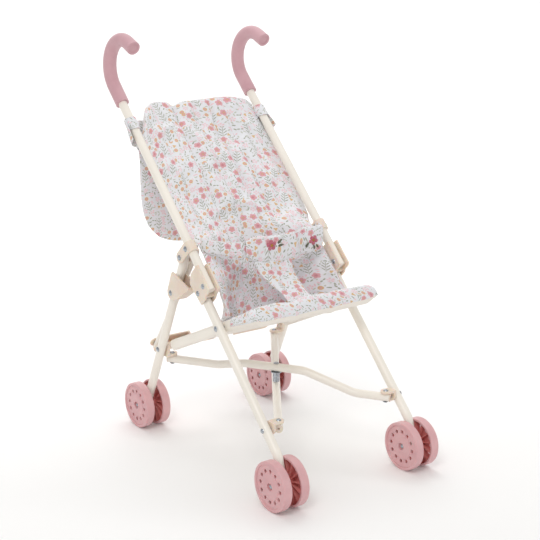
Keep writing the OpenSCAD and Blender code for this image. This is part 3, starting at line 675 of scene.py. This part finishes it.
# ---------------------------------------------------------------- seat with its front roll
def seat_pan(mats):
    """Seat between the rails with a padded roll over the front, printed above and plain below."""
    inner, outer = 89.2, 100.9  # half widths between the legs and over the rails
    # The section in the rail's frame: forward, up, and 1 where the cloth is plain
    q = [(-76, -1, 0), (-74, 2.5, 0), (-60, 3, 0), (-20, 4, 0), (20, 3, 0), (42, 2, 0), (51, 3.5, 0),
         (56, 8, 0), (61, 12, 0), (66, 12.5, 0), (70.5, 9.5, 0), (72.5, 4, 0), (72, -2, 0), (69.5, -7, 0),
         (67.5, -8.6, 1), (65.5, -11, 1), (62, -13.2, 1), (56, -12.6, 1), (46, -9.5, 1), (20, -7, 1),
         (-20, -6.5, 1), (-60, -6, 1), (-74, -5, 1), (-76, -3, 1)]
    q = np.array(q, float)
    s = lengths(q[:, :2])
    n = 84
    k = np.interp(np.linspace(0, 1, n), np.linspace(0, 1, len(q)), s)
    A = np.stack([interp(k, s, q[:, 0]), interp(k, s, q[:, 1])], -1)
    plain = np.interp(k, s, q[:, 2]) > 0.5
    # Across the seat, with closer rows at both ends
    e = np.concatenate([np.linspace(-1, -0.9, 8)[:-1], np.linspace(-0.9, 0.9, 62),
                        np.linspace(0.9, 1, 8)[1:]])
    m = len(e)
    a = A[:, 0][:, None] + 0 * e[None]
    b = A[:, 1][:, None] + 0 * e[None]
    side = np.clip((np.abs(e) - 0.84) / 0.10, 0, 1)[None] ** 1.2
    # Over the rails the cloth is a sleeve; behind the legs it lies between them
    around = 8.9  # from the rail's axis to the sleeve
    nose = [(62.5 + around * math.cos(f), around * math.sin(f))
            for f in np.radians([75, 50, 28, 8, -12, -30, -48, -64, -78])]
    sleeve = [(-76, -1), (-74, 1), (-60, 5), (-20, 8), (20, around), (42, around), (51, around),
              (56, around), (60, around), *nose, (56, -9), (46, -9), (20, -9), (-20, -9), (-60, -6),
              (-74, -5), (-76, -3)]
    picked = np.linspace(0, len(sleeve) - 1, len(q)).round().astype(int)
    sleeve = np.array([sleeve[i] for i in picked], float)
    sa, sb = interp(k, s, sleeve[:, 0])[:, None], interp(k, s, sleeve[:, 1])[:, None]
    over = np.clip((sa + 0.345 * sb - 7.0) / 2.4, 0, 1)
    over = over * over * (3 - 2 * over)
    a = a * (1 - side * over) + sa * side * over
    b = b * (1 - side * over) + sb * side * over
    half = inner + (outer - inner) * over
    cap_e = np.clip((np.abs(e) - 0.93) / 0.07, 0, 1)[None]
    mid_b = np.where(over > 0.5, -6.5 * np.clip(a / 70, 0, 1), -1.5)
    b = mid_b + (b - mid_b) * np.sqrt(np.clip(1 - cap_e**2, 0.0004, 1))
    a = a - np.where(a > 40, 1, 0) * (1 - np.sqrt(np.clip(1 - (cap_e * 0.8) ** 2, 0, 1))) * 6
    x = np.sign(e)[None] * half * np.abs(e)[None] ** 0.96
    # Slight sag between the rails, and creases beside the strap
    sag = (1 - np.abs(e)[None] ** 2.5) * 2.2 * np.clip(1 - np.abs(a) / 90, 0, 1)
    b = b - sag
    roll = np.exp(-(((a - 62) / 11) ** 2))
    for kk, ph, amp in waves(6, 0.9, 0.05, 0.16, 11):
        b = b + roll * amp * np.sin(kk * x + ph) * (b > -2)
        a = a + 0.6 * roll * amp * np.sin(kk * 1.3 * x + 2 * ph)
    b = b - 5.0 * np.exp(-(((x + 5) / 30) ** 4)) * np.exp(-(((a - 57) / 6) ** 2)) * (b > 0)
    b = b - 1.6 * np.exp(-(((x + 34) / 5) ** 2)) * roll - 1.6 * np.exp(-(((x - 24) / 5) ** 2)) * roll
    yz = on_rail(a[..., None], b[..., None])
    P = np.stack([x + 0 * a, yz[..., 0], yz[..., 1]], -1)
    verts = P.reshape(-1, 3)
    down_steps = np.linalg.norm(np.diff(P, axis=0), axis=2)
    along = np.concatenate([np.zeros((1, m)), np.cumsum(down_steps, axis=0)])
    along -= along[n // 3][None]
    side_steps = np.linalg.norm(np.diff(P, axis=1), axis=2)
    across = np.concatenate([np.zeros((n, 1)), np.cumsum(side_steps, axis=1)], axis=1)
    uv = np.stack([across, along + 300], -1).reshape(-1, 2)
    F, M = [], []
    for i in range(n):
        for j in range(m - 1):
            i2 = (i + 1) % n
            F.append((i * m + j, i * m + j + 1, i2 * m + j + 1, i2 * m + j)[::-1])
            M.append(1 if plain[i] else 0)
    for j, rev in ((0, False), (m - 1, True)):
        for i in range(n // 2 - 1):
            f = (i * m + j, (i + 1) * m + j, (n - 2 - i) * m + j, (n - 1 - i) * m + j)
            F.append(f[::-1] if rev else f)
            M.append(0)
    o = mesh_object("seat_cloth", verts, F, uv, mats, M)
    bm = bmesh.new()
    bm.from_mesh(o.data)
    bmesh.ops.remove_doubles(bm, verts=bm.verts, dist=0.00002)
    bmesh.ops.recalc_face_normals(bm, faces=bm.faces)
    bm.to_mesh(o.data)
    bm.free()
    subdivide(o)
    bake(o)
    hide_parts("seat_pan")
    fold(o)


# ---------------------------------------------------------------- belt, T strap and its flowers
# The belt's line from left to right: (x, y, z)
BELT = np.array([(-93.2, 8, 288), (-91, 0, 287.3), (-84, -8, 286), (-70, -16, 284), (-56, -22, 281.5),
                 (-40, -28, 279), (-18, -32, 277), (4, -33, 276), (24, -31, 276), (38, -26.5, 276.5),
                 (50, -24, 277.5), (60, -25, 278.5), (70, -26, 279), (79, -23.5, 279.5), (87, -15, 280),
                 (91, -5, 280.3), (93.2, 7, 280.5)], float)


def belt_line(x):
    at = BELT[:, 0]
    return np.interp(x, at, at), interp(x, at, BELT[:, 1]), interp(x, at, BELT[:, 2])


def band(name, xs, high, thick, mats, seed, uv0):
    """One flat, slightly cupped half of the belt."""
    X, Y, Z = belt_line(xs)
    rows = 11
    r = np.linspace(1, -1, rows)[:, None]
    h = np.broadcast_to(np.asarray(high, float), xs.shape)[None]
    cup = 1 - r**2
    w = sum(a * np.sin(k * xs[None] + ph + r * 0.8) for k, ph, a in waves(4, 0.5, 0.06, 0.22, seed))
    P = np.stack([X[None] + 0 * r, Y[None] - cup * 1.2 + w * 0.8,
                  Z[None] + r * h / 2 + w * (1 - cup) * 0.8], -1)
    s = lengths(np.stack([X, Y], -1))
    uv = np.stack([np.broadcast_to(s[None], P.shape[:2]) + uv0[0], r * h / 2 + uv0[1]], -1)
    t = thick * (0.55 + 0.45 * np.clip((1 - np.abs(r)) / 0.25, 0, 1)) + 0 * xs[None]
    return solid_sheet(name, P, t, mats, uv)


def belts(cloth_mats):
    end = 93.2  # where each half meets its side frame
    xs = np.linspace(-end, -32, 40)
    left = bake(band("lap_belt_left_strap", xs, 19, 2.6, cloth_mats, 21, (500, 40)))
    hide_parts("lap_belt_left")
    xs = np.linspace(66, end, 24)
    high = np.interp(xs, [60, 93], [31, 27])
    right = bake(band("lap_belt_right_strap", xs, high, 2.8, cloth_mats, 22, (700, 90)))
    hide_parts("lap_belt_right")
    for o in (left, right):
        fold(o)
    # The strap's top is a flat tunnel that the belt passes through, open at its left end
    xs = np.linspace(-46, 80, 62)
    X, Y, Z = belt_line(xs)
    tang = np.stack([np.gradient(X), np.gradient(Y)], -1)
    tang /= np.linalg.norm(tang, axis=1, keepdims=True)
    out = np.stack([tang[:, 1], -tang[:, 0]], -1)
    ring = np.linspace(0, 2 * math.pi, 33)[:-1]
    high = np.interp(xs, [-46, -40, -28, 40, 80], [21, 26, 36, 37, 32])
    rise = np.interp(xs, [-46, -40, -20], [3.5, 2.5, 0])
    deep = np.interp(xs, [-46, -36, -20, 50, 80], [8.2, 7.4, 6.0, 5.4, 3.8])
    c, s = np.cos(ring)[:, None], np.sin(ring)[:, None]
    dz = np.sign(c) * np.abs(c) ** 0.8 * high[None] / 2
    dn = np.sign(s) * np.abs(s) ** 0.75 * deep[None] / 2
    w = sum(a * np.sin(k * (xs[None] * (1 + 0.1 * a)) + ph + c * 1.3)
            for k, ph, a in waves(6, 0.55, 0.07, 0.25, 31))
    fold_in = (-1.5 * np.exp(-(((xs[None] - 40 + dz * 0.5) / 4) ** 2))
               - 1.2 * np.exp(-(((xs[None] + 22 - dz * 0.3) / 4) ** 2)))
    dn = dn + (w + fold_in) * (s > 0.1)
    P = np.stack([X[None] + out[:, 0][None] * dn, Y[None] + out[:, 1][None] * dn,
                  Z[None] + rise[None] + dz + 0.3 * w], -1)
    n, m = P.shape[:2]
    F = [(i * m + j, i * m + j + 1, ((i + 1) % n) * m + j + 1, ((i + 1) % n) * m + j)
         for i in range(n) for j in range(m - 1)]
    uv = np.stack([np.broadcast_to(xs[None], (n, m)) + 260,
                   ring[:, None] / (2 * math.pi) * 82 + 0 * xs[None] + 700], -1)
    bar = mesh_object("strap_tunnel", P.reshape(-1, 3), F, uv.reshape(-1, 2), cloth_mats)
    sol = bar.modifiers.new("wall", "SOLIDIFY")
    sol.thickness, sol.offset = 0.0013, -1
    subdivide(bar)
    bake(bar)
    # The strap itself, down to the seat: (y, z)
    line = np.array([(-31, 264), (-37, 252), (-47, 242), (-62, 232), (-78, 223.5), (-91, 216.5),
                     (-98, 211.5)], float)
    t = np.linspace(0, 1, 40)
    L = interp(t * (len(line) - 1), np.arange(len(line)), line)
    xl = np.interp(t, [0, 0.25, 0.6, 1], [-37, -29, -20, -21])
    xr = np.interp(t, [0, 0.25, 1], [26, 21, 18])
    u = np.linspace(0, 1, 22)
    X = xl[:, None] * (1 - u) + xr[:, None] * u
    lift = 1.2 * np.sin(math.pi * u)[None] + 0 * t[:, None]
    for x0, d in ((0.28, 1.3), (0.62, 1.6)):
        lift = lift - d * np.exp(-(((u[None] - x0 - 0.1 * t[:, None]) / 0.07) ** 2))
    for k, ph, a in waves(5, 0.5, 0.1, 0.3, 41):
        lift = lift + a * np.sin(k * X + ph + 3 * t[:, None])
    P = np.stack([X, np.broadcast_to(L[:, :1], X.shape), np.broadcast_to(L[:, 1:], X.shape)], -1)
    P = P + normals(P) * lift[..., None]
    uv = np.stack([X + 260, -lengths(L)[:, None] + 0 * X + 640], -1)
    thick = 1.6 + 2.6 * np.clip(np.minimum(u, 1 - u) / 0.12, 0, 1)[None] * np.ones((40, 1))
    strap = bake(solid_sheet("crotch_strap_cloth", P, thick, cloth_mats, uv))
    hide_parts("crotch_strap")
    soft(bar)
    for o in (bar, strap):
        fold(o)


def blossom(name, x, z, size, petals, leaves, mats):
    """Raised satin-stitch flower: five petals, a knotted centre and slim leaves."""
    _, y0, zc = belt_line(np.array([x]))
    _, y1, _ = belt_line(np.array([x + 1.0]))
    t = Vector((1, float(y1[0] - y0[0]), 0)).normalized()
    nrm = Vector((t.y, -t.x, 0))
    origin = Vector((x, float(y0[0]), z)) + nrm * 4.6
    V, F, U, M = [], [], [], []

    def blob(cx, cy, lx, ly, ang, rise, mat, n=14, m=5, pinch=0.0):
        base = len(V)
        V.append((cx, cy, rise))
        U.append((0, 0))
        for j in range(1, m + 1):
            r = j / m
            for i in range(n):
                th = 2 * math.pi * i / n
                px, py = lx * r * math.cos(th), ly * r * math.sin(th) * (1 - pinch * math.cos(th))
                V.append((cx + px * math.cos(ang) - py * math.sin(ang),
                          cy + px * math.sin(ang) + py * math.cos(ang),
                          rise * (1 - r**2.4) - 0.25 * (r > 0.99)))
                U.append((py, px))
        for i in range(n):
            F.append((base, base + 1 + i, base + 1 + (i + 1) % n))
            M.append(mat)
        for j in range(m - 1):
            for i in range(n):
                a, b = base + 1 + j * n + i, base + 1 + j * n + (i + 1) % n
                F.append((a, a + n, b + n, b))
                M.append(mat)

    for k in range(5):
        a = petals + k * 2 * math.pi / 5
        blob(0.58 * size * math.cos(a), 0.58 * size * math.sin(a), 0.46 * size, 0.40 * size, a, 1.1, 0,
             pinch=-0.25)
    for k in range(7):
        a = k * 2 * math.pi / 6
        r = 0.17 * size if k < 6 else 0
        blob(r * math.cos(a), r * math.sin(a), 0.11 * size, 0.11 * size, 0, 1.9, 1, n=8, m=3)
    for cx, cy, ln, wd, a in leaves:
        blob(cx * size, cy * size, ln * size, wd * size, a, 0.9, 2, pinch=0.5)
    pts = [tuple(origin + t * p[0] + Vector((0, 0, 1)) * p[1] + nrm * p[2]) for p in V]
    o = mesh_object(name, pts, F, U, mats, M)
    fold(o)


# ---------------------------------------------------------------- pouch and loops
def pouch(mats):
    """Pouch that hangs behind the back, with round lower corners and a gathered casing."""
    rows, cols = 62, 58
    z = 425 - 179 * np.linspace(0, 1, rows)
    hw = interp(-z, -np.array([425, 412, 396, 378, 350, 323, 300, 279, 263, 252, 247.5, 246]),
                [103, 98, 91, 86.5, 86, 85.5, 83, 76, 63, 45, 26, 8])
    u = np.linspace(-1, 1, cols)
    quarter = math.pi / 2 * 0.92
    X = hw[:, None] * np.sin(u * quarter)[None] / math.sin(quarter)
    v = np.linspace(0, 1, rows)[:, None]
    yc = np.interp(-z, [-425, -400, -370, -300, -246], [177, 173, 171, 170, 169])[:, None]
    fat = (np.clip(1 - np.abs(X / np.maximum(hw[:, None], 1)) ** 5, 0, 1)
           * np.clip(1 - np.abs(2 * v - 1) ** 5, 0, 1))
    thick = 2.4 + 13 * fat**0.8
    Y = yc + 0 * X
    for k, ph, a in waves(6, 0.7, 0.05, 0.14, 51):
        Y = Y + a * np.sin(k * X + ph + 2 * v) * np.clip(1.6 * (1 - v), 0.15, 1)
    P = np.stack([X, Y, z[:, None] + 0 * X], -1)
    uv = np.stack([X + 150, z[:, None] + 0 * X], -1)
    o = solid_sheet("rear_pouch", P, thick, mats, uv, sub=0)
    from_rim = np.minimum((1 - np.abs(u))[None] / 0.06, np.minimum(v / 0.06, (1 - v) / 0.05))
    hold = np.clip(1.3 - from_rim, 0.04, 1) * np.ones((rows, cols))
    puff(o, np.concatenate([np.clip(hold + 0.4, 0, 1).ravel(), hold.ravel()]), 1.4, 0.03, 7)
    subdivide(o)
    bake(o)
    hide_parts("rear_bag")
    fold(o)
    # Elastic casing across the pouch's mouth, gathered
    xs = np.linspace(-90, 90, 150)
    rr = np.linspace(1, -1, 7)[:, None]
    g = 0.9 * np.sin(xs * 1.15) + 0.5 * np.sin(xs * 2.3 + 1)
    P = np.stack([xs[None] + 0 * rr,
                  181.3 - 2.5 * (xs[None] / 90) ** 4 + 0.8 * g[None] * (1 - np.abs(rr) * 0.4) + 0 * rr,
                  397 + rr * 7 - 3 * (1 - (xs[None] / 90) ** 2) + 0.4 * g[None] * rr], -1)
    uv = np.stack([xs[None] + 0 * rr, rr * 7 + 900 + 0 * xs[None]], -1)
    c = bake(solid_sheet("pouch_casing", P[::-1], 2.2, mats, uv))
    soft(c)
    fold(c)


def loop(side, mats):
    """Cloth band around one handle tube, with loose cloth and a flap behind the tube."""
    name = "left" if side < 0 else "right"
    V, F, U = [], [], []

    def add(P, uv, close=False):
        n, m = P.shape[:2]
        b = len(V)
        V.extend(map(tuple, P.reshape(-1, 3)))
        U.extend(map(tuple, uv.reshape(-1, 2)))
        for i in range(n - 1):
            for j in range(m if close else m - 1):
                j2 = (j + 1) % m
                F.append((b + i * m + j, b + i * m + j2, b + (i + 1) * m + j2, b + (i + 1) * m + j))

    def around(s, rad, turn):
        """Points at s along the tube, rad from its axis and turned around it."""
        yz = on_handle(s[:, None], (rad * np.cos(turn))[:, None])
        return np.stack([side * (TUBE_X + rad * np.sin(turn)), yz[:, 0], yz[:, 1]], -1)

    # Band around the tube
    th = np.linspace(0, 2 * math.pi, 37)[:-1]
    rows = np.linspace(-0.5, 0.5, 9)
    P = np.zeros((9, 36, 3))
    for i, r in enumerate(rows):
        rad = 7.35 + 0.25 * np.cos(3 * th + 5 * r) + 0.35 * math.cos(9 * r)
        P[i] = around(267 + r * 19 + 2.5 * np.cos(th), rad, th)
    add(P, np.stack(np.meshgrid(rows * 19, th * 8, indexing="ij"), -1) + 400, close=True)
    # Loose cloth that hangs from the band around the back of the tube
    drop, turn = np.linspace(0, 1, 14), np.radians(np.linspace(108, -75, 18))
    P = np.zeros((14, 18, 3))
    for i, d in enumerate(drop):
        rad = 8.6 + 3.6 * d**1.5 + 0.5 * np.sin(4 * turn + 6 * d + side)
        P[i] = around(272 - 36 * d + 3 * np.sin(turn), rad, turn)
    add(P, np.stack(np.meshgrid(drop * 36, turn * 10, indexing="ij"), -1) + 600)
    # Flap behind the tube that ties the band to the pouch and the back
    rows, cols = np.linspace(280, 244, 16), np.linspace(0, 1, 12)
    P = np.zeros((16, 12, 3))
    for i, s in enumerate(rows):
        t = 9.5 + 16 * cols
        x = side * (104.5 - 7.5 * cols - 2 * np.sin(cols * 3 + s * 0.09))
        yz = on_handle((s - 5 * cols)[:, None], t[:, None])
        P[i] = np.stack([x, yz[:, 0], yz[:, 1]], -1)
    add(P, np.stack(np.meshgrid(rows, cols * 22, indexing="ij"), -1))
    o = mesh_object("tube_loops_" + name, V, F, U, mats)
    sol = o.modifiers.new("wall", "SOLIDIFY")
    sol.thickness, sol.offset = 0.0012, 0
    subdivide(o)
    bake(o)
    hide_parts("top_loop_" + name)
    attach(o, name + "_frame")


# ---------------------------------------------------------------- everything
look()
floor()
paints = {
    "cream_tube": paint("cream_paint", (246, 240, 230)),
    "peach_plastic": plastic("peach_plastic", (235, 220, 205), (231, 212, 195)),
    "pink_foam": foam(),
    "pink_wheel": wheel_plastic(),
    "zinc_steel": zinc(),
}
for part in frame["record"]["subparts"]:
    o = frame["nodes"][part["node"]]
    mat = paints.get(part["material_slot"])
    if mat is None:
        continue  # a cloth node: a soft piece stands for it
    if not o.material_slots:
        o.data.materials.append(mat)
    for s in o.material_slots:
        s.link = "OBJECT"
        s.material = mat

printed = cloth("floral_cotton")
lining = cloth("cream_lining", printed=False)
seat_back([printed])
seat_pan([printed, lining])
belts([printed])
rose = thread("rose_thread", (214, 122, 140), (188, 92, 112))
gold = thread("gold_thread", (224, 178, 78), (190, 140, 52))
leaf = thread("leaf_thread", (112, 112, 88), (78, 80, 62))
blossom("stitched_flower_left", -11.5, 284, 7.4, 0.4,
        [(1.75, 0.55, 0.66, 0.24, 0.65), (1.95, -0.20, 0.70, 0.24, 0.12)], [rose, gold, leaf])
blossom("stitched_flower_right", 63, 279, 6.6, 1.0,
        [(-1.35, -0.85, 0.62, 0.26, 0.9), (0.25, -1.45, 0.5, 0.2, 1.7), (0.95, -1.30, 0.5, 0.2, 2.2)],
        [rose, gold, leaf])
pouch([printed])
loop(-1, [printed])
loop(1, [printed])
